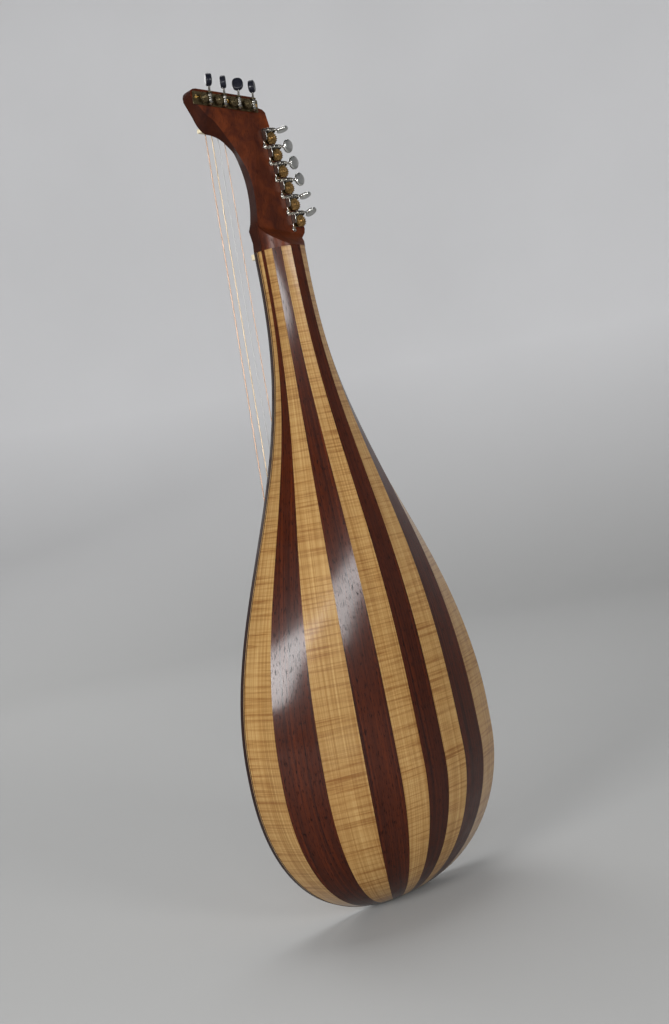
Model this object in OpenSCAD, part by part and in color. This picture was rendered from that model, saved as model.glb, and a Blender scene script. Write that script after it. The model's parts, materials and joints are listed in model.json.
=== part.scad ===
// Ten-string bass lute with a ribbed bowl that runs on up the neck.
// +Z runs up the neck, the soundboard faces -Y, the bass arm leans to +X.
// The origin is the middle of the tail edge, on the face of the soundboard.

/* [Bowl] */
// Length from the tail to the joint between neck and head
bowl_length = 780; // [780:1:782]
// Half the width of the bowl at its widest
half_width = 176; // [172:1:180]
// Height of the widest place above the tail
widest_z = 197; // [190:1:204]
// Depth of the bowl behind the soundboard at its deepest
bowl_depth = 117; // [112:1:122]
// Height of the deepest place above the tail
deepest_z = 171; // [165:1:177]
// Half the width of the neck at the head
neck_half_width = 32; // [31.5:0.5:32.5]
// Depth of the neck at the head
neck_depth = 40; // [39:0.5:41]
// Thickness of a rib
rib_thick = 2; // [1.8:0.1:2.2]

/* [Soundboard] */
// Depth of the dark rim binding
rim_depth = 8; // [7:0.5:9]
// Width of the rim binding
rim_width = 2.6; // [2.4:0.1:2.8]
// Thickness of the soundboard
board_thick = 2.5; // [2:0.1:3]
// Height of the sound hole's centre above the tail
hole_z = 305; // [295:1:315]
// Radius of the sound hole
hole_r = 42; // [40:1:44]

/* [Stringing] */
// Free string length of the six fingered strings
string_length = 630; // [625:1:635]
// Height of the strings in front of the soundboard
string_rise = 8; // [7.5:0.1:8.5]

/* [Head] */
// Thickness of the head
head_thick = 15; // [15:0.1:15.5]
// Distance between neighbouring tuners on the head
main_pitch = 20.2; // [20.2:0.05:20.4]
// Distance between neighbouring tuners on the arm
bass_pitch = 20.4; // [20.3:0.05:20.5]

/* [Tuners] */
// Radius of a string post
post_r = 3; // [2.9:0.05:3]
// Radius of a worm shaft in its bearings
shaft_r = 1.6; // [1.5:0.05:1.6]
// Teeth on a main gear
main_teeth = 16; // [16:1:16]
// Teeth on a bass gear
bass_teeth = 13; // [13:1:13]

/* [Hidden] */
$fn = 48;
RIBS = 11;
MAIN = 6;
BASS = 4;

// bowl law: the outline and the depth swell from the neck down to the tail
outline_round = 2.3;
outline_taper_z0 = 20;
outline_swell = 1.35;
depth_round = 1.9;
depth_taper_z0 = 57;
depth_swell = 1.53;
depth_onset = 1.46;
section_power = 2.15;
// seams: angle round the section at the widest place and at the head,
// and where each seam starts on the tail edge
seam_wide = [22, 43, 61, 75, 85.5];
seam_neck = [17.5, 24.5, 40, 58.5, 79];
seam_tail_x = [24, 13, 8, 4, 2];
rim_end_x = 34;
rib_steps = 26;

// neck and board
board_top_z = 640;
board_under = 5;
nut_foot_z = 773;
nut_size = 7;
bridge_z = nut_foot_z - string_length;
glue_gap = 0.1;

// tuners, measured from the post's axis and from the back of the head
main_first = [-10.3, 911.2];
main_line_lean = 12;
main_shaft_lean = 3;
bass_first = [15.5, 951];
arm_lean = 5;
plate_thick = 1.2;
gear_low = 3.5;
gear_thick = 3;
worm_high = 5;
main_gear_r = 7.2;
bass_gear_r = 6.2;
main_centres = 9.4;
bass_centres = 8.4;
worm_r = 3;
worm_core_r = 1.9;
worm_half = 4.9;
thread_depth = worm_r - worm_core_r;
bore_gap = 0.05;
post_front = 13;
main_button_turn = [82, 8, 5, 0, 78, 68];
bass_button_turn = [38, -35, 52, 66];
main_button_at = 18.5;
bass_button_at = 21.5;

// strings: places at the nuts and at the bridge
main_nut_pitch = 8.6;
main_bridge_pitch = 12;
bass_nut_x = [39, 47.5, 56, 64.5];
bass_nut_z = 921;
bass_bridge_x = [54, 65, 76, 87];
main_string_r = [0.2, 0.26, 0.36, 0.38, 0.46, 0.56];
bass_string_r = [0.48, 0.52, 0.58, 0.64];

// ---------- the bowl's surface ----------

function swell(v, from_z, low, high, top, onset, power) =
    let (s = (v - from_z) / (bowl_length - from_z))
    low + (top - low) * s + (high - low) * pow(0.5 + 0.5 * cos(180 * pow(max(s, 0), onset)), power);
function tail_round(v, to_z, high, power) =
    high * pow(max(1 - pow(1 - v / to_z, power), 0), 1 / power);
function half_w(v) = v < widest_z
    ? tail_round(max(v, 0), widest_z, half_width, outline_round)
    : swell(v, widest_z, outline_taper_z0, half_width, neck_half_width, 0.98, outline_swell);
function depth(v) = v < deepest_z
    ? tail_round(max(v, 0), deepest_z, bowl_depth, depth_round)
    : swell(v, deepest_z, depth_taper_z0, bowl_depth, neck_depth, depth_onset, depth_swell);
// point on the bowl at height v and angle t round the section
function skin(v, t) = [half_w(v) * pow(cos(t), 2 / section_power),
    depth(v) * pow(sin(t), 2 / section_power), v];
function slope_w(v) = (half_w(v + 0.05) - half_w(v - 0.05)) / 0.1;
function slope_d(v) = (depth(v + 0.05) - depth(v - 0.05)) / 0.1;
// outward normal at a point with x >= 0, y > 0
function skin_normal(p) =
    let (a = half_w(p.z), d = depth(p.z), fx = pow(p.x / a, section_power - 1) / a,
        fy = pow(p.y / d, section_power - 1) / d,
        fz = -(fx * p.x * slope_w(p.z) / a + fy * p.y * slope_d(p.z) / d),
        n = [fx, fy, fz])
    n / norm(n);
function inward(p, t) = let (q = p - t * skin_normal(p)) [q.x, q.y, min(q.z, bowl_length)];
// the line where the ribs meet the rim
function rim_point(v) = [half_w(v) * pow(max(1 - pow(rim_depth / depth(v), section_power), 0),
    1 / section_power), rim_depth, v];
// height at which the rim line passes x, by halving
function rim_height(x, lo = 0.3, hi = 60, n = 24) = n == 0 ? (lo + hi) / 2
    : let (mid = (lo + hi) / 2)
      (depth(mid) > rim_depth && rim_point(mid).x > x)
      ? rim_height(x, lo, mid, n - 1) : rim_height(x, mid, hi, n - 1);

// ---------- seams: each one lies in its own plane through the tail ----------

function seam_start(k) = k == 0 ? rim_point(rim_height(rim_end_x))
    : rim_point(rim_height(seam_tail_x[k - 1]));
function seam_plane(k) = let (t = seam_start(k), w = skin(widest_z, seam_wide[k - 1]),
    n = skin(bowl_length, seam_neck[k - 1])) cross(w - t, n - t);
function side(n, t, v, a) = n * (skin(v, a) - t);
function seam_angle(n, t, v, lo, hi, i = 22) = i == 0 ? (lo + hi) / 2
    : let (mid = (lo + hi) / 2)
      side(n, t, v, lo) * side(n, t, v, mid) <= 0
      ? seam_angle(n, t, v, lo, mid, i - 1) : seam_angle(n, t, v, mid, hi, i - 1);
function seam_point(k, v) = k == 0 ? rim_point(v)
    : let (t = seam_start(k)) v <= t.z + 0.001 ? t
    : skin(v, seam_angle(seam_plane(k), t, v, 0.01, 89.99));
function flip(p) = [-p.x, p.y, p.z];
// heights along a seam, close together at the tail
function seam_heights(k) = let (z0 = seam_start(k).z)
    [for (j = [0:rib_steps]) z0 + (bowl_length - z0) * pow(j / rib_steps, 2)];
function half_seam(k, t) = [for (v = seam_heights(k))
    let (p = seam_point(k, v), q = inward(p, t))
    t == 0 ? p : k == 0 ? [q.x, rim_depth, q.z] : q];
// seams 0 and RIBS are the two rim lines
function seam(k, t) = k < RIBS / 2 ? half_seam(k, t) : [for (p = half_seam(RIBS - k, t)) flip(p)];

// two rows of triangles between lines a and b, split from a's next point or from b's
function strip(n, a, b, from_a) = [for (j = [0:n - 2]) each let (p = a * n + j, q = b * n + j)
    from_a ? [[p, p + 1, q], [q, p + 1, q + 1]] : [[p, p + 1, q + 1], [p, q + 1, q]]];
module rib_shell(k) {
    n = rib_steps + 1;
    near_half = k == RIBS || (k > 1 && k <= RIBS / 2 + 1);
    pts = concat(seam(k - 1, 0), seam(k, 0), seam(k, rib_thick), seam(k - 1, rib_thick));
    ends = [[0, n, 2 * n], [0, 2 * n, 3 * n],
        [n - 1, 3 * n - 1, 2 * n - 1], [n - 1, 4 * n - 1, 3 * n - 1]];
    polyhedron(points = pts, faces = concat(strip(n, 0, 1, near_half), strip(n, 1, 2, true),
        strip(n, 2, 3, !near_half), strip(n, 3, 0, false), ends));
}
module rib(k) {
    color(k % 2 == 1 ? "goldenrod" : "saddlebrown") rib_shell(k);
}

// ---------- solids that fill the ribs ----------

function both_sides(half) = concat(half, [for (i = [len(half) - 1:-1:0]) flip(half[i])]);
// a ring of the neck core, t inside the bowl and clear of the rim
function core_ring(v, t) = let (edge = half_w(v) - rim_width - glue_gap) both_sides(concat(
    [[edge, board_under, v], [edge, rim_depth + glue_gap, v]],
    [for (k = [1:5]) let (q = inward(seam_point(k, v), t)) [q.x, q.y, v]]));
// a ring of the tail block: the bowl's own section a little lower down
function tail_ring(v, lower) = let (s = v - lower, edge = skin(s, 8)) both_sides(concat(
    [[half_w(s) - 1, board_thick + glue_gap, v], [edge.x - 1, rim_depth + 1, v]],
    [for (k = [1:5]) let (q = seam_point(k, s)) [q.x, max(q.y, rim_depth + 1), v]]));
module filled(rings) {
    m = len(rings[0]);
    last = len(rings) - 1;
    polyhedron(points = [for (r = rings) each r],
        faces = concat([[for (i = [0:m - 1]) i], [for (i = [m - 1:-1:0]) last * m + i]],
            [for (j = [0:last - 1]) for (i = [0:m - 1]) each let (i2 = (i + 1) % m)
                [[j * m + i, (j + 1) * m + i, j * m + i2],
                 [j * m + i2, (j + 1) * m + i, (j + 1) * m + i2]]]));
}
module neck_core() {
    foot_z = board_top_z - 45;
    color("peru") filled([for (i = [0:8]) core_ring(foot_z + (bowl_length - foot_z) * i / 8,
        rib_thick + 0.4)]);
}
module tail_block() {
    color("burlywood") filled([for (v = [9, 12, 16, 21, 27]) tail_ring(v, 4.2)]);
}

// ---------- soundboard side ----------

function tail_steps() = [for (a = [0:6:90]) widest_z * (1 - cos(a))];
function body_steps() = [for (i = [1:26]) widest_z + (board_top_z - widest_z) * i / 26];
function neck_steps() = [for (i = [1:6]) board_top_z + (bowl_length - board_top_z) * i / 6];
function half_outline(heights) = [for (v = heights) [half_w(v), v]];
function mirrored(path) = [for (i = [len(path) - 1:-1:0]) [-path[i].x, path[i].y]];
// a point moved in at right angles to its neighbours' line
function inset(path, i, t) =
    let (a = path[max(i - 1, 0)], b = path[min(i + 1, len(path) - 1)],
        d = i == 0 ? [1, 0] : (b - a) / norm(b - a))
    path[i] + t * [-d.y, d.x];
function inner_outline(heights, t) =
    let (p = half_outline(heights)) [for (i = [0:len(p) - 1]) inset(p, i, t)];
function all_steps() = concat(tail_steps(), body_steps(), neck_steps());
function board_steps() = concat(tail_steps(), body_steps());
// stands a drawing in X and Z up and makes it run from y0 to y0 + thick
module slab(y0, thick) {
    translate([0, y0 + thick, 0]) rotate([90, 0, 0]) linear_extrude(thick) children();
}
function whole_inner() = inner_outline(all_steps(), rim_width);
module rim_binding() {
    outer = half_outline(all_steps());
    inner = whole_inner();
    top = len(inner) - 1;
    trimmed = concat([for (i = [0:top - 1]) inner[i]], [[inner[top].x, bowl_length]]);
    // the two tail points lie on the middle line and are used once
    outer_loop = concat(mirrored(outer), [for (i = [1:len(outer) - 1]) outer[i]]);
    inner_loop = concat(mirrored(trimmed), [for (i = [1:top]) trimmed[i]]);
    back = [for (i = [len(inner_loop) - 1:-1:0]) inner_loop[i]];
    color("#2b1410") slab(0, rim_depth) polygon(concat(outer_loop, back));
}
module soundboard() {
    n = len(board_steps());
    half = [for (i = [0:n - 1]) whole_inner()[i]];
    color("wheat") slab(0, board_thick) difference() {
        polygon(concat([for (i = [1:n - 1]) half[i]], mirrored(half)));
        translate([0, hole_z]) circle(hole_r);
    }
}
module rosette() {
    petal_r = 4.4;
    color("tan") slab(0.3, 1.8) difference() {
        translate([0, hole_z]) circle(hole_r);
        translate([0, hole_z]) circle(petal_r);
        for (ring = [1:3]) for (i = [0:6 * ring - 1])
            translate([0, hole_z]) rotate(i * 60 / ring) translate([ring * 11.5, 0]) circle(petal_r);
    }
}
brace_z = [90, 180, 240, 375, 450, 530];
module soundboard_braces() {
    brace = [5, 12];
    color("burlywood") for (z = brace_z)
        translate([-half_w(z) + 7, board_thick, z - brace.x / 2])
            cube([2 * half_w(z) - 14, brace.y, brace.x]);
}
module fingerboard() {
    n = len(board_steps()) - 1;
    half = [for (i = [n:len(all_steps()) - 1]) if (whole_inner()[i].y < nut_foot_z - 5) whole_inner()[i]];
    top = [half[len(half) - 1].x, nut_foot_z];
    path = concat(half, [top]);
    color("#2a1a14") slab(0, board_under) polygon(concat(path, mirrored(path)));
}
function fret_z(n) = nut_foot_z - string_length * (1 - pow(2, -n / 12));
function fret_half(n) = min(half_w(fret_z(n)) - rim_width - 0.8, 35);
module frets() {
    crown = 1.1;
    color("gainsboro") for (n = [1:12])
        translate([-fret_half(n), 0, fret_z(n)]) rotate([0, 90, 0]) difference() {
            cylinder(r = crown, h = 2 * fret_half(n));
            translate([-2, 0, -1]) cube([4, 4, 200]);
        }
}

// ---------- bridge and nuts ----------

bridge_x = [-44, 100];
module bridge() {
    foot = 22;
    color("#3a1c14") {
        translate([bridge_x[0], -5, bridge_z - foot]) cube([bridge_x[1] - bridge_x[0], 5, foot - 3.2]);
        translate([bridge_x[0], -3, bridge_z - 3.2]) cube([bridge_x[1] - bridge_x[0], 3, 6.4]);
        translate([bridge_x[0], -9.5, bridge_z - foot]) cube([bridge_x[1] - bridge_x[0], 4.5, 5]);
    }
}
module saddle() {
    color("ivory") translate([bridge_x[0] + 4, -string_rise + 0.7, bridge_z - 1.5])
        cube([bridge_x[1] - bridge_x[0] - 8, string_rise - 3.7, 3]);
}
module main_nut() {
    color("ivory") {
        translate([-29, -6.2, nut_foot_z]) cube([58, 6.2 + board_under, nut_size]);
        translate([-31.8, -6.2, nut_foot_z]) cube([63.6, 6.2, nut_size]);
    }
}
module bass_nut() {
    color("ivory") translate([70, 0, bass_nut_z + 6]) rotate([0, -arm_lean, 0])
        translate([-36, -6.2, -5]) cube([42, 6.2, 5]);
}

// ---------- headstock ----------

// corners of the head, from the neck round by the arm's tip: [x and z in front, x and z behind];
// under the arm the two differ, which makes its broad bevel
head_corners = [[[31.5, 780], [31.5, 780]], [[30.5, 792], [30.5, 792]], [[33, 806], [30.5, 809]],
    [[29, 815], [28.5, 819]], [[25.5, 832], [26.5, 838]], [[24.3, 848], [26.5, 855]],
    [[25, 864], [29, 872]], [[28, 880], [34, 886]], [[33.5, 897], [41, 901]],
    [[41.5, 906.5], [48.5, 913]], [[50, 914], [56, 922.5]], [[60.5, 918.3], [64.5, 932]],
    [[71.5, 921], [74, 939]], [[79, 929], [83, 949]], [[84, 940], [88, 954]],
    [[90, 952], [90.5, 958.5]], [[92, 959], [90.5, 963]], [[90, 965.5], [87, 966.5]],
    [[83, 968], [82, 967]], [[0, 960.5], [0, 960.5]], [[-2, 948], [-2, 948]],
    [[-8, 946.5], [-8, 946.5]], [[-11.5, 943], [-11.5, 943]], [[-14.8, 924], [-14.8, 924]],
    [[-39.5, 804], [-39.5, 804]], [[-38, 799], [-38, 799]], [[-32, 792], [-32, 792]],
    [[-32, 780], [-32, 780]]];
module head_slab() {
    n = len(head_corners);
    polyhedron(points = [for (face = [0, 1]) for (c = head_corners)
            [c[face].x, face * head_thick, c[face].y]],
        faces = concat([[for (i = [n - 1:-1:0]) i], [for (i = [0:n - 1]) n + i]],
            [for (i = [0:n - 1]) each let (j = (i + 1) % n) [[i, j, n + i], [j, n + j, n + i]]]));
}
// the slope from the thin head down to the round back of the neck
cup_line = [[12, 760], [neck_depth - 0.5, 760], [neck_depth - 0.5, 780], [36, 783], [30.5, 788],
    [24, 793.5], [18.5, 799], [head_thick, 803.5], [head_thick - 1, 812], [12, 812]];
cup_tilt = 9;
function neck_ring(t) = [for (a = [t:(180 - 2 * t) / 32:180 - t])
    let (s = skin(bowl_length, min(a, 180 - a))) [a > 90 ? -s.x : s.x, s.y]];
module neck_cup() {
    intersection() {
        translate([0, 0, bowl_length]) linear_extrude(40)
            polygon(concat([[neck_half_width, 0]], neck_ring(2), [[-neck_half_width, 0]]));
        translate([0, 0, 803.5]) rotate([0, -cup_tilt, 0]) translate([-50, 0, -803.5])
            rotate([90, 0, 90]) linear_extrude(100) polygon(cup_line);
    }
}
module headstock() {
    color("#7a2a16") difference() {
        union() {
            head_slab();
            neck_cup();
        }
        for (i = [0:MAIN - 1]) translate([main_at(i).x, -1, main_at(i).y]) post_hole();
        for (i = [0:BASS - 1]) translate([bass_at(i).x, -1, bass_at(i).y]) post_hole();
    }
}
module post_hole() {
    rotate([-90, 0, 0]) cylinder(r = post_r + bore_gap, h = head_thick + 2);
}

// ---------- tuners ----------

function main_at(i) = main_first - i * main_pitch * [sin(main_line_lean), cos(main_line_lean)];
function bass_at(i) = bass_first + i * bass_pitch * [cos(arm_lean), sin(arm_lean)];
// frame of a tuner: x along the shaft to the button, y from gear to worm, z out of the head
module at_main(i) {
    translate([main_at(i).x, head_thick, main_at(i).y])
        rotate([-90, 0, 0]) rotate(180 + main_shaft_lean) children();
}
module at_bass(i) {
    translate([bass_at(i).x, head_thick, bass_at(i).y])
        rotate([-90, 0, 0]) rotate(-90 - arm_lean) mirror([0, 1, 0]) children();
}
// a worm stands on its axis with the thread centred on +X at the origin
module at_main_worm(i) {
    translate([main_at(i).x, head_thick + worm_high, main_at(i).y])
        rotate([0, main_shaft_lean, 0]) translate([0, 0, main_centres])
            rotate([0, -90, 0]) rotate([0, 0, 180]) children();
}
module at_bass_worm(i) {
    translate([bass_at(i).x, head_thick + worm_high, bass_at(i).y])
        rotate([0, -arm_lean, 0]) translate([-bass_centres, 0, 0]) children();
}
// a post stands along +Y with a gap between two teeth towards its worm
module at_main_post(i) {
    translate([main_at(i).x, head_thick, main_at(i).y])
        rotate([-90, 0, 0]) rotate(main_shaft_lean - 90) children();
}
module at_bass_post(i) {
    translate([bass_at(i).x, head_thick, bass_at(i).y])
        rotate([-90, 0, 0]) rotate(180 - arm_lean) children();
}

function worm_pitch(gear_r, teeth) = 2 * PI * (gear_r - thread_depth / 2) / teeth;
// one thread as a sweep: half-widths at the core and at the crest
module thread(pitch, turns) {
    per_turn = 12;
    n = round(turns * per_turn);
    root_half = 0.55;
    crest_half = 0.3;
    profile = [[worm_core_r - 0.3, -root_half], [worm_r, -crest_half],
        [worm_r, crest_half], [worm_core_r - 0.3, root_half]];
    function place(i) = let (a = (i - n / 2) * 360 / per_turn, z = pitch * (i - n / 2) / per_turn)
        [for (q = profile) [q.x * cos(a), q.x * sin(a), z + q.y]];
    polyhedron(points = [for (i = [0:n]) each place(i)],
        faces = concat([[3, 2, 1, 0], [n * 4, n * 4 + 1, n * 4 + 2, n * 4 + 3]],
            [for (i = [0:n - 1]) for (j = [0:3]) each let (j2 = (j + 1) % 4)
                [[i * 4 + j, i * 4 + j2, (i + 1) * 4 + j],
                 [i * 4 + j2, (i + 1) * 4 + j2, (i + 1) * 4 + j]]]));
}
module worm(gear_r, teeth, button_at, inner_end, button_half) {
    threaded = 3.2;
    color("silver") {
        thread(worm_pitch(gear_r, teeth), threaded);
        translate([0, 0, -worm_half]) cylinder(r = worm_core_r, h = 2 * worm_half);
        translate([0, 0, -inner_end]) cylinder(r = shaft_r, h = inner_end - worm_half);
        translate([0, 0, worm_half]) cylinder(r = shaft_r, h = button_at - button_half - worm_half);
    }
}
module gear(r, teeth) {
    step = 360 / teeth;
    root = r - thread_depth - 0.1;
    tip_half = 0.42 / r * 180 / PI;
    root_half = 0.75 / root * 180 / PI;
    // teeth sit half a step away from +X, where the worm's thread runs
    linear_extrude(gear_thick) polygon([for (i = [0:teeth - 1]) let (a = (i + 0.5) * step) each
        [root * [cos(a - root_half), sin(a - root_half)], r * [cos(a - tip_half), sin(a - tip_half)],
         r * [cos(a + tip_half), sin(a + tip_half)], root * [cos(a + root_half), sin(a + root_half)]]]);
}
module post(gear_r, teeth, string_r) {
    wraps = 4;
    color("darkgoldenrod") translate([0, 0, gear_low]) gear(gear_r, teeth);
    color("silver") {
        translate([0, 0, -head_thick - post_front])
            cylinder(r = post_r, h = head_thick + post_front + gear_low);
        translate([0, 0, gear_low + gear_thick]) cylinder(r = 2.6, h = 0.8);
        translate([0, 0, gear_low + gear_thick + 0.8]) cylinder(r1 = 2.6, r2 = 1.6, h = 0.9);
    }
    // the string's turns on the post
    color("khaki") translate([0, 0, -head_thick - string_rise + 2 - string_r * wraps])
        difference() {
            cylinder(r = post_r + 2 * string_r, h = 2 * string_r * wraps);
            translate([0, 0, -1]) cylinder(r = post_r, h = 2 * string_r * wraps + 2);
        }
}
module oval_button(length, width, thick) {
    points = 40;
    translate([-thick / 2, 0, 0]) rotate([90, 0, 90]) linear_extrude(thick)
        polygon([for (i = [0:points - 1]) let (a = i * 360 / points)
            [width / 2 * cos(a), length / 2 * sin(a)]]);
}
main_button_size = [14, 16, 5];
bass_button_size = [14, 13, 7];
module main_worm(i) {
    at_main_worm(i) worm(main_gear_r, main_teeth, main_button_at, 9.6, main_button_size.x / 2);
}
module bass_worm(i) {
    at_bass_worm(i) worm(bass_gear_r, bass_teeth, bass_button_at, 7.6, bass_button_size.x / 2);
}
module main_button(i) {
    color("silver") at_main_worm(i) translate([0, 0, main_button_at])
        rotate(90 + main_button_turn[i]) neck_and_oval(main_button_size);
}
module bass_button(i) {
    color("#15151a") at_bass_worm(i) translate([0, 0, bass_button_at])
        rotate(90 + bass_button_turn[i]) neck_and_oval(bass_button_size);
}
// an oval whose foot meets the end of the shaft
module neck_and_oval(size) {
    oval_button(size.x, size.y, size.z);
}
module main_post(i) {
    at_main_post(i) post(main_gear_r, main_teeth, main_string_r[5 - i]);
}
module bass_post(i) {
    at_bass_post(i) post(bass_gear_r, bass_teeth, bass_string_r[i]);
}

// an upright ear that carries one end of a worm shaft
module ear(at, reach) {
    thick = 1.2;
    difference() {
        translate([at, reach[0], 0]) cube([thick, reach[1] - reach[0], worm_high + 3]);
        translate([at - 1, reach[2], worm_high]) rotate([0, 90, 0])
            cylinder(r = shaft_r + bore_gap, h = thick + 2);
    }
}
module plate_hole() {
    translate([0, 0, -1]) cylinder(r = post_r + bore_gap, h = plate_thick + 2);
}
main_screw = [-9, -8.6];
module main_tuner_plates() {
    color("silver") for (i = [0:MAIN - 1]) at_main(i) difference() {
        union() {
            translate([-9.4, -6, 0]) cube([15.8, 18, plate_thick]);
            translate([-11.4, -11.2, 0]) cube([4.8, 6.2, plate_thick]);
            ear(-9.4, [-2, 12, main_centres]);
            ear(6.4 - 1.2, [6, 12, main_centres]);
        }
        plate_hole();
    }
}
bass_plate_size = [91, 15];
module bass_tuner_plate() {
    color("#4a4030") difference() {
        union() {
            translate([bass_first.x, head_thick, bass_first.y]) rotate([0, -arm_lean, 0])
                translate([-17, 0, -7.4]) cube([bass_plate_size.x, plate_thick, bass_plate_size.y]);
            for (i = [0:BASS - 1]) at_bass(i) {
                ear(-7.3, [5.6, 11.4, bass_centres]);
                ear(6.1, [5.6, 11.4, bass_centres]);
            }
        }
        for (i = [0:BASS - 1]) at_bass(i) plate_hole();
    }
}
module screw_head() {
    translate([0, 0, plate_thick]) cylinder(r = 2.1, h = 0.7);
    translate([0, 0, plate_thick + 0.7]) cylinder(r1 = 2.1, r2 = 1.2, h = 0.7);
}
// screws lie at these places along the bass plate, from its first post
bass_screws = [-14, 26, 69.4];
module plate_screws() {
    color("silver") for (i = [0:MAIN - 1]) at_main(i) translate(main_screw) screw_head();
    color("goldenrod") translate([bass_first.x, head_thick, bass_first.y]) rotate([0, -arm_lean, 0])
        for (x = bass_screws) translate([x, 0, 1]) rotate([-90, 0, 0]) screw_head();
}
module ferrule() {
    rotate([-90, 0, 0]) translate([0, 0, -1.2]) difference() {
        cylinder(r = 5, h = 1.2);
        translate([0, 0, -1]) cylinder(r = post_r + bore_gap, h = 4);
    }
}
module post_ferrules() {
    color("silver") {
        for (i = [0:MAIN - 1]) translate([main_at(i).x, 0, main_at(i).y]) ferrule();
        for (i = [0:BASS - 1]) translate([bass_at(i).x, 0, bass_at(i).y]) ferrule();
    }
}

// ---------- strings ----------

function unit(v) = v / norm(v);
// a round string through a row of points, as one sweep
module wire(path, r) {
    sides = 8;
    last = len(path) - 1;
    run = [for (i = [0:last]) unit(unit(path[max(i, 1)] - path[max(i, 1) - 1])
        + unit(path[min(i + 1, last)] - path[min(i + 1, last) - 1]))];
    rings = [for (i = [0:last]) let (e = unit(cross(run[i], [0, 1, 0])), f = cross(run[i], e))
        [for (j = [0:sides - 1]) path[i] + r * (cos(j * 360 / sides) * e + sin(j * 360 / sides) * f)]];
    polyhedron(points = [for (ring = rings) each ring],
        faces = concat([[for (j = [sides - 1:-1:0]) j], [for (j = [0:sides - 1]) last * sides + j]],
            [for (i = [0:last - 1]) for (j = [0:sides - 1]) let (j2 = (j + 1) % sides)
                [i * sides + j, i * sides + j2, (i + 1) * sides + j2, (i + 1) * sides + j]]));
}
// from the tie block over the saddle and the nut to the side s (+1 or -1 in X) of the post,
// where it stops just short
module strung(foot, nut, post_at, r, s) {
    rise = string_rise - 2;
    lift = 0.2;
    wire([[foot.x, -6.6, foot.y - 16.8], [foot.x, -string_rise, foot.y],
        [nut.x, -string_rise + 1.2, nut.y],
        [post_at.x + s * (post_r + 3 * r + lift), -rise, post_at.y]], r);
}
module main_strings() {
    color("silver") for (i = [0:MAIN - 1]) let (k = MAIN - 1 - i)
        strung([(i - 2.5) * -main_bridge_pitch, bridge_z],
            [(i - 2.5) * -main_nut_pitch, nut_foot_z + 3], main_at(i), main_string_r[k], 1);
}
module bass_strings() {
    color("peru") for (i = [0:BASS - 1])
        strung([bass_bridge_x[i], bridge_z], [bass_nut_x[i], bass_nut_z + 3], bass_at(i),
            bass_string_r[i], i < 2 ? 1 : -1);
}

// ---------- nodes ----------

for (k = [1:RIBS]) rib(k);
rim_binding();
soundboard();
rosette();
soundboard_braces();
neck_core();
tail_block();
fingerboard();
frets();
bridge();
saddle();
main_nut();
bass_nut();
headstock();
main_tuner_plates();
bass_tuner_plate();
plate_screws();
post_ferrules();
main_strings();
bass_strings();
for (i = [0:MAIN - 1]) {
    main_worm(i);
    main_button(i);
    main_post(i);
}
for (i = [0:BASS - 1]) {
    bass_worm(i);
    bass_button(i);
    bass_post(i);
}
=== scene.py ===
"""Looks of the ten-string bass lute, built round its CAD frame.

Shapes are worked out in millimetres in the CAD's own axes: +Z up the neck, the soundboard
faces -Y, the bass arm leans to +X. Only piece() turns millimetres into metres.
"""
import json
from math import cos, pi, radians, sin, tan

import bmesh
import bpy
from mathutils import Matrix, Vector


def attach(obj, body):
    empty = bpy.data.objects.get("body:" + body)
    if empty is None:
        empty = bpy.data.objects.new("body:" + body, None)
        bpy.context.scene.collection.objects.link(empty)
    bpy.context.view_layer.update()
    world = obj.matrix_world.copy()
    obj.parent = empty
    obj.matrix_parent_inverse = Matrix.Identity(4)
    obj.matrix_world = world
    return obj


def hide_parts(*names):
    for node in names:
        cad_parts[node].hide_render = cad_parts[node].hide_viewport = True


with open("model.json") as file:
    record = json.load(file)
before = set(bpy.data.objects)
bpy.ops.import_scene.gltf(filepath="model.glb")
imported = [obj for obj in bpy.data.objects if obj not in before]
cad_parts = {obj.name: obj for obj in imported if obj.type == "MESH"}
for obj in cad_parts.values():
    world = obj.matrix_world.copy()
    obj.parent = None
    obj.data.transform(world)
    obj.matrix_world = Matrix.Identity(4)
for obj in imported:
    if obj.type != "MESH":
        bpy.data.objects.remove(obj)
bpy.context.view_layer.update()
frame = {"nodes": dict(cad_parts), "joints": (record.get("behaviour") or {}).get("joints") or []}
MM = 0.001
scene = bpy.context.scene

# ---------- camera ----------

CAMERA_AT = Vector((1.007, 1.249, 0.5125))
CAMERA_AIM = Vector((0.0176, 0.0423, 0.4665))
CAMERA_ROLL = -10.5
CAMERA_LENS = 47.36


def make_camera():
    data = bpy.data.cameras.new("camera")
    data.lens = CAMERA_LENS
    data.sensor_width = 36
    camera = bpy.data.objects.new("camera", data)
    turn = (CAMERA_AIM - CAMERA_AT).to_track_quat("-Z", "Y").to_matrix().to_4x4()
    camera.matrix_world = (Matrix.Translation(CAMERA_AT) @ turn
                           @ Matrix.Rotation(radians(CAMERA_ROLL), 4, "Z"))
    scene.collection.objects.link(camera)
    scene.camera = camera


make_camera()

# ---------- shape tools ----------
# a shape is (points, faces)


def loft(rings, closed=True, caps=True):
    m = len(rings[0])
    points = [tuple(p) for ring in rings for p in ring]
    faces = [(i * m + j, i * m + (j + 1) % m, (i + 1) * m + (j + 1) % m, (i + 1) * m + j)
             for i in range(len(rings) - 1) for j in range(m if closed else m - 1)]
    if closed and caps:
        faces += [tuple(range(m))[::-1], tuple(range(len(points) - m, len(points)))]
    return points, faces


def join(*shapes):
    points, faces = [], []
    for p, f in shapes:
        faces += [tuple(i + len(points) for i in face) for face in f]
        points += p
    return points, faces


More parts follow.
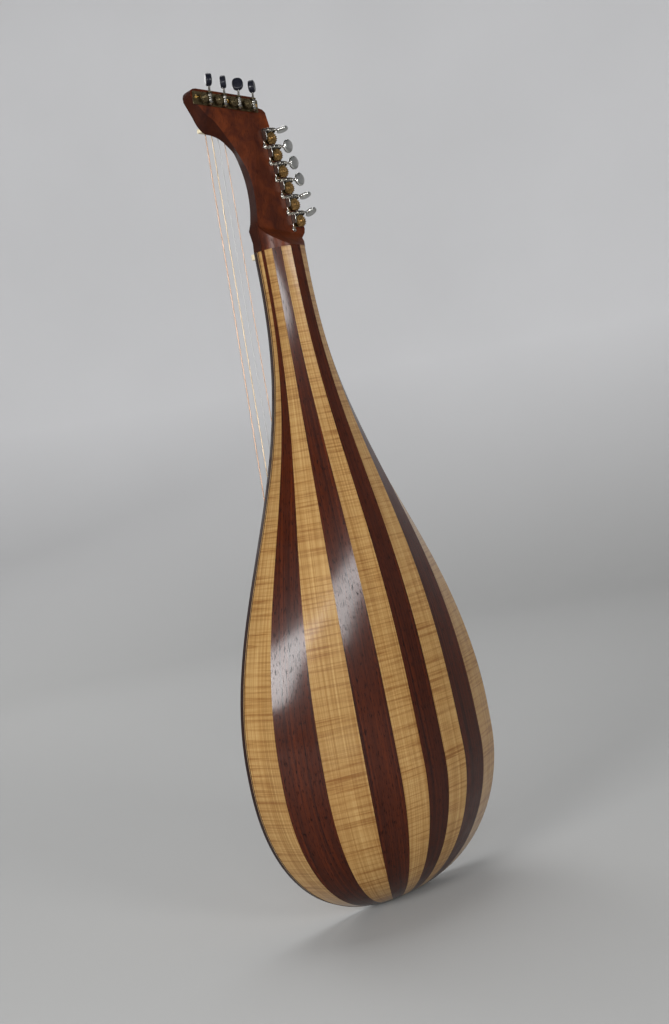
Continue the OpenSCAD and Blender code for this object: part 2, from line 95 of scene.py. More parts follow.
def moved(shape, matrix):
    flip = matrix.to_3x3().determinant() < 0
    return ([tuple(matrix @ Vector(p)) for p in shape[0]],
            [f[::-1] if flip else f for f in shape[1]])


def ring(r, z, sides, squash=1.0):
    return [(r * cos(2 * pi * i / sides), squash * r * sin(2 * pi * i / sides), z)
            for i in range(sides)]


def lathe(profile, sides=40):
    return loft([ring(max(r, 0.01), z, sides) for r, z in profile])


def slab(outline, z0, z1):
    return loft([[(x, y, z0) for x, y in outline], [(x, y, z1) for x, y in outline]])


def box(lo, hi):
    return slab([(lo[0], lo[1]), (hi[0], lo[1]), (hi[0], hi[1]), (lo[0], hi[1])], lo[2], hi[2])


def rounded(lo, hi, r, steps=5):
    """A rectangle from lo to hi with corners of radius r."""
    corners = [(hi[0] - r, hi[1] - r, 0), (lo[0] + r, hi[1] - r, 90),
               (lo[0] + r, lo[1] + r, 180), (hi[0] - r, lo[1] + r, 270)]
    return [(x + r * cos(radians(a + 90 * s / steps)), y + r * sin(radians(a + 90 * s / steps)))
            for x, y, a in corners for s in range(steps + 1)]


def tube(path, radius, sides=12):
    """A round rod along a path; radius is a number or one number per point."""
    path = [Vector(p) for p in path]
    radii = radius if isinstance(radius, list) else [radius] * len(path)
    last = len(path) - 1
    runs = [(path[min(i + 1, last)] - path[max(i - 1, 0)]).normalized() for i in range(last + 1)]
    side = runs[0].orthogonal().normalized()
    rings = []
    for p, run, r in zip(path, runs, radii):
        side = (side - run * side.dot(run)).normalized()
        up = run.cross(side)
        rings.append([p + r * (cos(2 * pi * k / sides) * side + sin(2 * pi * k / sides) * up)
                      for k in range(sides)])
    return loft(rings)


def curve_through(points, steps):
    """Catmull-Rom curve through points of any dimension."""
    pts = [Vector(p) for p in points]
    out = []
    for i in range(len(pts) - 1):
        a, b, c, d = pts[max(i - 1, 0)], pts[i], pts[i + 1], pts[min(i + 2, len(pts) - 1)]
        for k in range(steps):
            t = k / steps
            out.append(0.5 * (2 * b + (c - a) * t + (2 * a - 5 * b + 4 * c - d) * t ** 2
                              + (3 * b - a - 3 * c + d) * t ** 3))
    return out + [pts[-1]]


def piece(name, shape, material, body="lute", stands_for=(), grain=None,
          crease=32, bevel=0, bevel_angle=35):
    points, faces = shape
    mesh = bpy.data.meshes.new(name)
    mesh.from_pydata([tuple(MM * c for c in p) for p in points], [], faces)
    if not grain:
        work = bmesh.new()
        work.from_mesh(mesh)
        bmesh.ops.remove_doubles(work, verts=work.verts, dist=0.002 * MM)
        bmesh.ops.recalc_face_normals(work, faces=work.faces)
        work.to_mesh(mesh)
        work.free()
    mesh.validate()
    mesh.materials.append(material)
    mesh.polygons.foreach_set("use_smooth", [True] * len(mesh.polygons))
    mesh.set_sharp_from_angle(angle=radians(crease))
    if grain:
        values = mesh.attributes.new("grain", "FLOAT_VECTOR", "POINT")
        values.data.foreach_set("vector", [MM * c for g in grain for c in g])
    obj = bpy.data.objects.new(name, mesh)
    scene.collection.objects.link(obj)
    if bevel:
        mod = obj.modifiers.new("rounded_edges", "BEVEL")
        mod.width = bevel * MM
        mod.segments = 3
        mod.limit_method = "ANGLE"
        mod.angle_limit = radians(bevel_angle)
        mod.harden_normals = True
    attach(obj, body)
    if stands_for:
        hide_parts(*stands_for)
    return obj


# ---------- material tools ----------

class Finish:
    """One material: a Principled shader and the nodes that feed it. Scales are per metre."""

    def __init__(self, name, rough=0.4, metallic=0.0, coat=0.0, coat_rough=0.08, attribute=None):
        self.material = bpy.data.materials.new(name)
        self.material.use_nodes = True
        self.tree = self.material.node_tree
        self.shader = self.tree.nodes["Principled BSDF"]
        self.shader.inputs["Roughness"].default_value = rough
        self.shader.inputs["Metallic"].default_value = metallic
        self.shader.inputs["Coat Weight"].default_value = coat
        self.shader.inputs["Coat Roughness"].default_value = coat_rough
        if coat:
            self.shader.inputs["Specular IOR Level"].default_value = 0.1
        if attribute:
            self.at = self.node("ShaderNodeAttribute", attribute_name=attribute).outputs["Vector"]
        else:
            self.at = self.node("ShaderNodeTexCoord").outputs["Object"]

    def node(self, kind, inputs=(), **settings):
        made = self.tree.nodes.new(kind)
        for key, value in settings.items():
            setattr(made, key, value)
        for key, value in dict(inputs).items():
            if isinstance(value, bpy.types.NodeSocket):
                self.tree.links.new(value, made.inputs[key])
            else:
                made.inputs[key].default_value = value
        return made

    def noise(self, scale, detail=3.0, rough=0.55, warp=0.0, move=(0, 0, 0)):
        at = self.node("ShaderNodeMapping", {"Vector": self.at, "Scale": scale, "Location": move})
        return self.node("ShaderNodeTexNoise", {"Vector": at.outputs[0], "Scale": 1.0,
                         "Detail": detail, "Roughness": rough, "Distortion": warp}).outputs["Fac"]

    def ramp(self, factor, *stops, stepped=False):
        """Each stop is (place, colour or grey level)."""
        made = self.node("ShaderNodeValToRGB", {"Fac": factor})
        if stepped:
            made.color_ramp.interpolation = "CONSTANT"
        points = made.color_ramp.elements
        while len(points) < len(stops):
            points.new(0.5)
        for point, (place, colour) in zip(points, stops):
            point.position = place
            value = colour if isinstance(colour, tuple) else (colour, colour, colour)
            point.color = (*value, 1)
        return made.outputs["Color"]

    def mix(self, factor, a, b, how="MIX"):
        made = self.node("ShaderNodeMix", data_type="RGBA", blend_type=how)
        for place, value in ((0, factor), (6, a), (7, b)):
            if isinstance(value, bpy.types.NodeSocket):
                self.tree.links.new(value, made.inputs[place])
            elif place:
                made.inputs[place].default_value = (*value, 1)
            else:
                made.inputs[0].default_value = value
        return made.outputs[2]

    def maths(self, how, a, b=0.0):
        return self.node("ShaderNodeMath", {0: a, 1: b}, operation=how).outputs[0]

    def spread(self, factor, low, high):
        made = self.node("ShaderNodeMapRange", {"Value": factor, "From Min": 0.3, "From Max": 0.7,
                         "To Min": low, "To Max": high})
        return made.outputs[0]

    def set(self, socket, value):
        self.tree.links.new(value, self.shader.inputs[socket])

    def bump(self, *layers):
        """Each layer is (height, strength, depth in mm)."""
        normal = None
        for height, strength, deep in layers:
            inputs = {"Height": height, "Strength": strength, "Distance": deep * MM}
            if normal:
                inputs["Normal"] = normal
            normal = self.node("ShaderNodeBump", inputs).outputs[0]
        self.set("Normal", normal)


def wood(name, dark, light, figure=0.0, pores=0.0, rough=0.35, coat=1.0, coat_rough=0.07,
         attribute=None, line_scale=190, line_run=3.2, drift=0.25, shaded_sides=0.0):
    """Grain runs along Z of the object or of the named attribute; faces that turn away
    from +Y and -Y get painted shade, as much as the last argument says."""
    f = Finish(name, rough, coat=coat, coat_rough=coat_rough, attribute=attribute)
    lines = f.noise((line_scale, line_scale, line_run), 4, 0.6, 0.6)
    fibre = f.noise((1500, 1500, 22), 2, 0.7)
    slow = f.noise((16, 16, 4), 2, 0.5, 1.0)
    colour = f.ramp(lines, (0.3, dark), (0.72, light))
    colour = f.mix(f.spread(slow, 0, drift), colour, tuple(0.45 * c for c in dark))
    colour = f.mix(f.spread(fibre, 0, 0.22), colour, tuple(0.5 * c for c in dark))
    heights = [(fibre, 0.25, 0.05), (lines, 0.12, 0.12)]
    if figure:
        bars = f.noise((9, 9, 300), 4, 0.6, 0.4)
        zones = f.noise((15, 15, 24), 2, 0.5, 0.8, (0.3, 0, 0))
        bar_strength = f.spread(zones, 0.35, 1.0)
        shade = f.ramp(bars, (0.38, tuple(1 - figure * c for c in (0.95, 1.25, 1.5))),
                       (0.49, (0.86, 0.80, 0.72)), (0.58, (1.0, 1.0, 1.0)))
        colour = f.mix(bar_strength, colour, f.mix(1.0, colour, shade, "MULTIPLY"))
        colour = f.mix(f.spread(zones, 0, 0.45 * figure), colour, dark)
        heights.append((bars, 0.10, 0.25))
    if pores:
        streaks = f.ramp(f.noise((800, 800, 120), 2, 0.6), (0.37, 0.0), (0.43, 1.0))
        colour = f.mix(pores, colour, f.mix(1.0, colour, streaks, "MULTIPLY"))
        heights.append((streaks, 0.35, 0.08))
        if coat:
            # the lacquer sinks into the open pores, which stay dull
            f.set("Coat Weight", f.spread(streaks, 0.2 * coat, coat))
    # painted shade on faces that turn away from +Y and -Y
    if shaded_sides:
        normal = f.node("ShaderNodeTexCoord").outputs["Normal"]
        facing = f.maths("ABSOLUTE", f.node("ShaderNodeSeparateXYZ", {0: normal}).outputs[1])
        side = f.ramp(facing, (0.72, 1.0), (0.95, 0.0))
        colour = f.mix(f.maths("MULTIPLY", side, shaded_sides), colour,
                       tuple(0.35 * c for c in dark))
    f.set("Base Color", colour)
    f.set("Roughness", f.spread(f.noise((40, 40, 40), 3), rough - 0.06, rough + 0.1))
    f.bump(*heights)
    return f


def metal(name, colour, rough, tarnish, spots):
    """Plated or bare metal with patches of tarnish; spots is how strong they are."""
    f = Finish(name, rough, metallic=1.0)
    stain = f.noise((220, 220, 220), 4, 0.65)
    marks = f.noise((400, 400, 400), 3, 0.7)
    f.set("Base Color", f.mix(f.spread(stain, 0, spots), colour, tarnish))
    f.set("Roughness", f.spread(f.noise((900, 900, 900), 3), 0.7 * rough, 1.5 * rough + 0.04))
    f.bump((marks, 0.10, 0.03), (stain, 0.05, 0.1))
    return f


light_rib = wood("light_rib_wood", (0.27, 0.135, 0.036), (0.53, 0.345, 0.135), figure=0.55,
                 coat=0.5, coat_rough=0.14, attribute="grain", line_scale=460, drift=0.25)
dark_rib = wood("dark_rib_wood", (0.016, 0.0020, 0.0001), (0.086, 0.0130, 0.0004), pores=0.8,
                coat=0.42, coat_rough=0.13, attribute="grain", line_scale=300, drift=0.3)
# the head's sideways faces carry painted shade
head_wood = wood("head_wood", (0.036, 0.005, 0.0008), (0.155, 0.030, 0.004), pores=0.35,
                 rough=0.5, coat=0.16, coat_rough=0.25, line_scale=75, line_run=50, drift=0.6,
                 shaded_sides=0.75)
cup_wood = wood("neck_cup_wood", (0.036, 0.005, 0.0008), (0.155, 0.030, 0.004), pores=0.35,
                rough=0.5, coat=0.2, coat_rough=0.25, line_scale=75, line_run=50, drift=0.5)
rim_wood = wood("rim_wood", (0.010, 0.002, 0.001), (0.030, 0.006, 0.003), pores=0.4, rough=0.5,
                coat=0.12, coat_rough=0.2)
spruce = wood("soundboard_wood", (0.42, 0.22, 0.075), (0.62, 0.39, 0.17), rough=0.42, coat=0.5,
              coat_rough=0.2, line_scale=520, drift=0.15)
fretboard_wood = wood("fingerboard_wood", (0.010, 0.006, 0.004), (0.030, 0.018, 0.012),
                      pores=0.5, rough=0.45, coat=0.1)
bridge_wood = wood("bridge_wood", (0.018, 0.005, 0.003), (0.055, 0.016, 0.008), pores=0.4)
purfling = wood("purfling_wood", (0.34, 0.19, 0.07), (0.50, 0.33, 0.15), rough=0.4, coat=0.8)
rosette_wood = wood("rosette_wood", (0.30, 0.15, 0.05), (0.48, 0.28, 0.11), rough=0.45, coat=0.4,
                    coat_rough=0.2, line_scale=400)
bare_wood = wood("inside_wood", (0.32, 0.18, 0.08), (0.52, 0.34, 0.18), rough=0.6, coat=0.0)
chrome = metal("nickel_plate", (0.50, 0.48, 0.44), 0.13, (0.07, 0.06, 0.05), 0.5)
brass = metal("gear_brass", (0.42, 0.25, 0.09), 0.26, (0.07, 0.04, 0.015), 0.75)
bronze = metal("aged_bronze", (0.15, 0.115, 0.06), 0.34, (0.03, 0.022, 0.014), 0.6)
screw_brass = metal("screw_brass", (0.70, 0.48, 0.16), 0.2, (0.22, 0.12, 0.04), 0.35)
fret_metal = metal("fret_metal", (0.70, 0.66, 0.58), 0.18, (0.30, 0.24, 0.16), 0.3)
polished = metal("polished_button", (0.56, 0.56, 0.54), 0.1, (0.22, 0.21, 0.19), 0.3)


def plain(name, colour, shade, rough, grain_scale, coat=0.0):
    """Bone or plastic: cloudy between two colours, with fine pits."""
    f = Finish(name, rough, coat=coat)
    cloud = f.noise((60, 60, 60), 4, 0.6)
    pits = f.noise((grain_scale,) * 3, 3, 0.7)
    f.set("Base Color", f.mix(f.spread(cloud, 0, 0.7), colour, shade))
    f.set("Roughness", f.spread(pits, 0.75 * rough, 1.4 * rough))
    f.bump((pits, 0.12, 0.05))
    return f


bone = plain("bone", (0.74, 0.67, 0.48), (0.60, 0.49, 0.30), 0.35, 900)
black_plastic = plain("black_plastic", (0.006, 0.007, 0.012), (0.014, 0.014, 0.019), 0.26,
                      700, coat=0.12)
nylon = plain("nylon", (0.42, 0.42, 0.42), (0.34, 0.34, 0.34), 0.35, 900, coat=0.1)


def wound_string(name, colour, shade, per_metre):
    """A string with its winding as fine ridges across it."""
    f = Finish(name, 0.3, metallic=1.0)
    cloud = f.noise((300, 300, 30), 3)
    turns = f.node("ShaderNodeTexWave", {"Vector": f.at, "Scale": per_metre / pi,
                   "Distortion": 0.0}, bands_direction="Z").outputs["Fac"]
    f.set("Base Color", f.mix(f.spread(cloud, 0, 0.6), colour, shade))
    f.bump((turns, 0.35, 0.08))
    return f


plain_steel = wound_string("plain_string", (0.72, 0.70, 0.66), (0.45, 0.42, 0.38), 90)
silver_wound = wound_string("silver_wound", (0.70, 0.68, 0.66), (0.42, 0.38, 0.34), 2200)
bronze_wound = wound_string("bronze_wound", (0.52, 0.40, 0.26), (0.30, 0.22, 0.14), 1500)
copper_wound = wound_string("copper_wound", (0.46, 0.30, 0.21), (0.30, 0.18, 0.12), 1500)

# ---------- the bowl's law, as in the CAD ----------

BOWL_LENGTH, HALF_WIDTH, WIDEST_Z = 780, 176, 197
BOWL_DEPTH, DEEPEST_Z = 117, 171
NECK_HALF_WIDTH, NECK_DEPTH = 32, 40
OUTLINE_ROUND, OUTLINE_TAPER_Z0, OUTLINE_SWELL, OUTLINE_ONSET = 2.3, 20, 1.35, 0.98
DEPTH_ROUND, DEPTH_TAPER_Z0, DEPTH_SWELL, DEPTH_ONSET = 1.9, 57, 1.53, 1.46
SECTION_POWER = 2.15
SEAM_WIDE, SEAM_NECK = (22, 43, 61, 75, 85.5), (17.5, 24.5, 40, 58.5, 79)
SEAM_TAIL_X = (34, 24, 13, 8, 4, 2)
RIBS, RIB_THICK, RIM_DEPTH, RIM_WIDTH, BOARD_THICK = 11, 2, 8, 2.6, 2.5


def swell(v, from_z, low, high, top, onset, power):
    s = (v - from_z) / (BOWL_LENGTH - from_z)
    return (low + (top - low) * s
            + (high - low) * (0.5 + 0.5 * cos(pi * max(s, 0) ** onset)) ** power)


def tail_round(v, to_z, high, power):
    return high * max(1 - (1 - max(v, 0) / to_z) ** power, 0) ** (1 / power)


def half_w(v):
    if v < WIDEST_Z:
        return tail_round(v, WIDEST_Z, HALF_WIDTH, OUTLINE_ROUND)
    return swell(v, WIDEST_Z, OUTLINE_TAPER_Z0, HALF_WIDTH, NECK_HALF_WIDTH,
                 OUTLINE_ONSET, OUTLINE_SWELL)


def depth(v):
    if v < DEEPEST_Z:
        return tail_round(v, DEEPEST_Z, BOWL_DEPTH, DEPTH_ROUND)
    return swell(v, DEEPEST_Z, DEPTH_TAPER_Z0, BOWL_DEPTH, NECK_DEPTH, DEPTH_ONSET, DEPTH_SWELL)


def on_section(v, a, d, t):
    return Vector((a * cos(t) ** (2 / SECTION_POWER), d * sin(t) ** (2 / SECTION_POWER), v))


def skin(v, degrees_round):
    return on_section(v, half_w(v), depth(v), radians(degrees_round))


def rim_point(v):
    reach = max(1 - (RIM_DEPTH / depth(v)) ** SECTION_POWER, 0) ** (1 / SECTION_POWER)
    return Vector((half_w(v) * reach, RIM_DEPTH, v))


def halve(low, high, is_high, steps=26):
    for _ in range(steps):
        mid = (low + high) / 2
        low, high = (low, mid) if is_high(mid) else (mid, high)
    return (low + high) / 2


def seam_line(k, stations):
    """Seam k from the tail to the head; seams 0 and 11 are the rim lines."""
    if k > RIBS / 2:
        return [Vector((-p.x, p.y, p.z)) for p in seam_line(RIBS - k, stations)]
    tail_x = SEAM_TAIL_X[k]
    start = rim_point(halve(0.3, 60, lambda v: depth(v) > RIM_DEPTH and rim_point(v).x > tail_x))
    heights = [start.z + (BOWL_LENGTH - start.z) * (j / stations) ** 2
               for j in range(stations + 1)]
    if k == 0:
        return [start] + [rim_point(v) for v in heights[1:]]
    plane = (skin(WIDEST_Z, SEAM_WIDE[k - 1]) - start).cross(
        skin(BOWL_LENGTH, SEAM_NECK[k - 1]) - start)
    line = [start]
    for v in heights[1:]:
        a, d = half_w(v), depth(v)
        low_side = plane.dot(on_section(v, a, d, 0.0002) - start) > 0
        t = halve(0.0002, pi / 2 - 0.0002, lambda t: (plane.dot(on_section(v, a, d, t) - start)
                                                      > 0) != low_side)
        line.append(on_section(v, a, d, t))
    return line


STATIONS, ACROSS, CROWN = 130, 8, 0.16
MIDDLE = ACROSS // 2
GRAIN_SHIFT = 90  # sets each rib's grain apart from the next one's


def crowned(a, b, u):
    """Point u of the way across a rib, with a slight crown towards the true section."""
    flat = a.lerp(b, u)
    middle = a.lerp(b, 0.5)
    wide, deep = half_w(middle.z), depth(middle.z)
    size = ((abs(middle.x) / wide) ** SECTION_POWER
            + (middle.y / deep) ** SECTION_POWER) ** (1 / SECTION_POWER)
    rise = Vector((middle.x, middle.y, 0)) * (1 / max(size, 0.2) - 1)
    return flat + rise * CROWN * 4 * u * (1 - u)


def make_rib(k, lines):
    """Rib k, between seams k - 1 and k, with its grain along its length."""
    a_line, b_line = lines[k - 1], lines[k]
    rings, grain, along, last = [], [], 0.0, None
    outer_rows = [[crowned(a, b, u / ACROSS) for u in range(ACROSS + 1)]
                  for a, b in zip(a_line, b_line)]
    for j, outer in enumerate(outer_rows):
        near = outer_rows[max(j - 1, 0)][MIDDLE]
        far = outer_rows[min(j + 1, STATIONS)][MIDDLE]
        facing = (outer[-1] - outer[0]).cross(far - near).normalized()
        if facing.dot(Vector((outer[MIDDLE].x, outer[MIDDLE].y, 0))) < 0:
            facing = -facing
        inner = [p - RIB_THICK * facing for p in outer]
        for p in inner:
            p.z = min(p.z, BOWL_LENGTH)
            p.y = max(p.y, RIM_DEPTH - 0.5)
        along += (outer[MIDDLE] - last).length if last else 0
        last = outer[MIDDLE]
        rings.append(outer + inner[::-1])
        wide = (outer[-1] - outer[0]).length
        shift = GRAIN_SHIFT * k
        grain += [(wide * (u / ACROSS - 0.5) + shift, 0.0, along) for u in range(ACROSS + 1)]
        grain += [(wide * (0.5 - u / ACROSS) + shift, 5.0, along) for u in range(ACROSS + 1)]
    dark = k % 2 == 0
    piece(f"rib_{k}_board", loft(rings), (dark_rib if dark else light_rib).material,
          stands_for=[f"rib_{k}"], grain=grain,
          crease=50)


seams = [seam_line(k, STATIONS) for k in range(RIBS + 1)]
for k in range(1, RIBS + 1):
    make_rib(k, seams)

# ---------- rim, soundboard and what lies on it ----------


def outline_heights(top, tail_steps=60, body_steps=90):
    return ([WIDEST_Z * (1 - cos(pi / 2 * i / tail_steps)) for i in range(tail_steps + 1)]
            + [WIDEST_Z + (top - WIDEST_Z) * i / body_steps for i in range(1, body_steps + 1)])


def inset_outline(top, inset):
    """The half outline from the tail up, moved in at right angles: points (x, z)."""
    path = [Vector((half_w(v), v)) for v in outline_heights(top)]
    moved_in = []
    for i, p in enumerate(path):
        run = path[min(i + 1, len(path) - 1)] - path[max(i - 1, 0)]
        run = Vector((1, 0)) if i == 0 else run.normalized()
        moved_in.append(p + inset * Vector((-run.y, run.x)))
    moved_in[0].x = 0
    return moved_in


def both_sides(half):
    """A closed loop from a half outline that starts on the middle line."""
    return [(-p.x, p.y) for p in half[:0:-1]] + [(p.x, p.y) for p in half]


def upright(loop, y):
    return [(x, y, z) for x, z in loop]


def make_rim():
    outer, inner = inset_outline(BOWL_LENGTH, 0), inset_outline(BOWL_LENGTH, RIM_WIDTH)
    rings = [upright(both_sides(h), y) for h, y in
             ((outer, 0.5), (outer, RIM_DEPTH), (inner, RIM_DEPTH), (inner, 0),
              (inset_outline(BOWL_LENGTH, 0.5), 0), (outer, 0.5))]
    piece("rim_strip", loft(rings, closed=False), rim_wood.material,
          stands_for=["rim_binding"], crease=50)
    # the fine light line let into the strip, just clear of the ribs
    line = both_sides(inset_outline(BOWL_LENGTH, -0.03))
    edges = [upright(line, y) for y in (RIM_DEPTH - 1.7, RIM_DEPTH - 0.9)]
    piece("rim_purfling", loft(edges, closed=False), purfling.material, crease=50)


make_rim()

HOLE_Z, HOLE_R, INLAY_WIDE = 305, 42, 14
BOARD_TOP_Z, NUT_FOOT_Z = 640, 773


def board_with_hole(half, y0, y1):
    """A plate between a half outline mirrored and the sound hole, as rings round the hole."""
    loop = both_sides(half)
    hole = []
    for x, z in loop:
        away = Vector((x, z - HOLE_Z)).normalized()
        hole.append((away.x * HOLE_R, HOLE_Z + away.y * HOLE_R))
    bands = 10
    rings = []
    for b in range(bands + 1):
        t = (b / bands) ** 1.5
        rings.append([(h[0] + (o[0] - h[0]) * t, h[1] + (o[1] - h[1]) * t)
                      for h, o in zip(hole, loop)])
    front = [upright(r, y0) for r in rings]
    back = [upright(r, y1) for r in rings[::-1]]
    return loft(front + back + [front[0]], closed=True, caps=False)


def soundboard_finish():
    """Straight-grained softwood with dark and light rings let in round the sound hole."""
    f = spruce
    offset = f.node("ShaderNodeVectorMath", {0: f.at, 1: (0, 0, HOLE_Z * MM)},
                    operation="SUBTRACT").outputs[0]
    flat = f.node("ShaderNodeVectorMath", {0: offset, 1: (1, 0, 1)},
                  operation="MULTIPLY").outputs[0]
    away = f.node("ShaderNodeVectorMath", {0: flat}, operation="LENGTH").outputs["Value"]
    made = f.node("ShaderNodeMapRange", {"Value": away, "From Min": HOLE_R * MM,
                  "From Max": (HOLE_R + INLAY_WIDE) * MM, "To Min": 0, "To Max": 1})
    inlay = f.ramp(made.outputs[0], (0.0, 0.0), (0.10, 1.0), (0.20, 0.0), (0.36, 1.0),
                   (0.41, 0.0), (0.62, 1.0), (0.67, 0.0), stepped=True)
    below = f.shader.inputs["Base Color"].links[0].from_socket
    f.set("Base Color", f.mix(inlay, below, (0.03, 0.012, 0.007)))


soundboard_finish()
piece("soundboard_plate", board_with_hole(inset_outline(BOARD_TOP_Z, RIM_WIDTH), 0, BOARD_THICK),
      spruce.material, stands_for=["soundboard"], crease=50)

# ---------- bridge, nuts and saddle ----------

BRIDGE_Z = NUT_FOOT_Z - 630
BRIDGE_X = (-44, 100)
BRIDGE_WING, BRIDGE_BACK, SADDLE_SIDE = 14, 22, 3.2
STRING_RISE, HEAD_THICK = 8, 15
NUT_SIZE, NUT_RISE, NUT_SINK, NUT_HALF_WIDE, NUT_HALF_SUNK = 7, 6.2, 5, 31.8, 29
BASS_NUT_Z, BASS_NUT_TURN_X, BASS_NUT_LEAN, BASS_NUT_SIZE = 921, 70, -5, 5


def block(x, y, z):
    return box((x[0], y[0], z[0]), (x[1], y[1], z[1]))


def make_bridge():
    """A shelf with thin wings, a ledge for the saddle and a tie block with a bone inlay."""
    low, high = BRIDGE_X
    body_low, body_high = low + BRIDGE_WING, high - BRIDGE_WING
    back, front = BRIDGE_Z - BRIDGE_BACK, BRIDGE_Z - SADDLE_SIDE
    plate = [(low, -1.6), (body_low, -4.6), (body_low + 6, -5), (body_high - 6, -5),
             (body_high, -4.6), (high, -1.6), (high, 0), (low, 0)]
    shelf = slab(plate, back, front)
    ledge = block((low + 2, high - 2), (-3, 0), (front, BRIDGE_Z + SADDLE_SIDE))
    tie = block((body_low, body_high), (-9.3, -4.8), (back, back + 5))
    piece("bridge_body", join(shelf, ledge, tie), bridge_wood.material, stands_for=["bridge"],
          bevel=0.5)
    inlay = block((body_low + 1, body_high - 1), (-9.5, -9), (back + 1.3, back + 3.7))
    piece("bridge_inlay", inlay, bone.material, bevel=0.15)
    top = rounded((-1.5, -STRING_RISE + 0.7), (1.5, -3), 1.1)
    shape = slab([(y, z) for z, y in top], low + 4, high - 4)
    turn = Matrix(((0, 0, 1, 0), (1, 0, 0, 0), (0, 1, 0, BRIDGE_Z), (0, 0, 0, 1)))
    piece("saddle_bone", moved(shape, turn), bone.material, stands_for=["saddle"])


def make_nuts():
    wide, sunk = NUT_HALF_WIDE, NUT_HALF_SUNK
    profile = [(-wide, -NUT_RISE), (wide, -NUT_RISE), (wide, 0), (sunk, 0), (sunk, NUT_SINK),
               (-sunk, NUT_SINK), (-sunk, 0), (-wide, 0)]
    main = slab(profile, NUT_FOOT_Z, NUT_FOOT_Z + NUT_SIZE)
    piece("main_nut_bone", main, bone.material, stands_for=["main_nut"], bevel=1.0)
    lean = (Matrix.Translation((BASS_NUT_TURN_X, 0, BASS_NUT_Z + 6))
            @ Matrix.Rotation(radians(BASS_NUT_LEAN), 4, "Y"))
    bass = block((-36, 6), (-NUT_RISE, 0), (-BASS_NUT_SIZE, 0))
    piece("bass_nut_bone", moved(bass, lean), bone.material, stands_for=["bass_nut"],
          bevel=1.0)


make_bridge()
make_nuts()

# ---------- headstock ----------

# corners (x, z) in front and behind, from the neck round by the arm's tip
NECK_CORNERS = (((31.5, 780), (31.5, 780)), ((30.5, 792), (30.5, 792)), ((33, 806), (30.5, 809)))
ARM_CORNERS = (((29, 815), (28.5, 819)), ((25.5, 832), (26.5, 838)), ((24.3, 848), (26.5, 855)),
               ((25, 864), (29, 872)), ((28, 880), (34, 886)), ((33.5, 897), (41, 901)),
               ((41.5, 906.5), (48.5, 913)), ((50, 914), (56, 922.5)), ((60.5, 918.3), (64.5, 932)),
               ((71.5, 921), (74, 939)), ((79, 929), (83, 949)), ((84, 940), (88, 954)),
               ((90, 952), (90.5, 958.5)))
NOSE_CORNERS = (((91.8, 956), (91.8, 960)), ((92, 960.5), (91.2, 963.5)),
                ((90.6, 964.3), (89.3, 966.2)), ((87.6, 967), (86.5, 967.6)),
                ((83, 968), (82.5, 968)))
LEFT_CORNERS = ((0, 960.5), (-2, 948), (-8, 946.5), (-11.5, 943), (-14.8, 924), (-39.5, 804),
                (-38, 799), (-32, 792), (-32, 780))
FACET_DROP, FACET_WIDE = 5, 34
# how much of the facet each corner of the arm has: it starts at a notch and runs out at the nose
FACET_SHARE = (0, 0, 0.03, 0.1, 0.3, 1, 0.72, 0.45, 0.28, 0.155, 0.085, 0.03, 0)
FACET_WAY = Vector((-0.84, 0, 0.54))
RIDGE_SHIFT = Vector((-2.0, 0, 0.8))


def make_head():
    """The head in three rings of corners: front, ridge behind, and the facet's upper edge."""
    stations = []
    for (front, back), share in zip(ARM_CORNERS, FACET_SHARE):
        ridge = Vector((back[0], HEAD_THICK - FACET_DROP * min(1, 1.5 * share), back[1]))
        ridge += RIDGE_SHIFT * share
        upper = Vector((ridge.x, HEAD_THICK, ridge.z)) + FACET_WAY * FACET_WIDE * share
        stations.append(Vector((front[0], 0, front[1], *ridge, *upper)))
    arm = curve_through(stations, 4)
    front = [tuple(v[0:3]) for v in arm]
    ridge = [tuple(v[3:6]) for v in arm]
    upper = [tuple(v[6:9]) for v in arm]

    def plain_corners(pairs):
        return ([(f[0], 0, f[1]) for f, _ in pairs],
                [(b[0], HEAD_THICK, b[1]) for _, b in pairs])

    neck = plain_corners(NECK_CORNERS)
    nose = plain_corners(NOSE_CORNERS)
    left = plain_corners([(c, c) for c in LEFT_CORNERS])
    rings = [neck[0] + front + nose[0] + left[0], neck[1] + ridge + nose[1] + left[1],
             neck[1] + upper + nose[1] + left[1]]
    piece("head_board", loft(rings), head_wood.material, stands_for=["headstock"],
          bevel=0.9, bevel_angle=24, crease=40)


# the cup's slope on the middle line, (y, z) from the head down to the neck's back
CUP = ((13, 808), (15, 803.5), (18.5, 799), (24, 793.5), (30.5, 788), (36, 783.3), (39.5, 780.3))
CUP_LEAN = 9


def make_cup():
    """The slope behind the head, down to the round back of the neck."""
    rings = []
    for y, z in curve_through(CUP, 5):
        room = max(1 - (y / NECK_DEPTH) ** SECTION_POWER, 0)
        half = NECK_HALF_WIDTH * room ** (1 / SECTION_POWER)
        top = [(half * (1 - u / 10), y, z + tan(radians(CUP_LEAN)) * half * (1 - u / 10))
               for u in range(21)]
        rings.append([(-half, y, BOWL_LENGTH), (half, y, BOWL_LENGTH)]
                     + [(x, y, max(h, BOWL_LENGTH + 0.2)) for x, y, h in top])
    piece("neck_cup", loft(rings), cup_wood.material, crease=45)


make_head()
make_cup()

# ---------- tuners ----------
# a tuner's own axes: X along the shaft to the button, Y from the gear to the worm, Z out of
# the head, from the post's axis at the back of the head

JOINTS = {j["name"]: j for j in frame["joints"]}
MAIN, BASS = 6, 4
PLATE, WORM_HIGH, GEAR_LOW, GEAR_THICK = 1.2, 5, 3.5, 3
POST_R, SHAFT_R, WORM_R, WORM_CORE = 3, 1.6, 3, 1.9
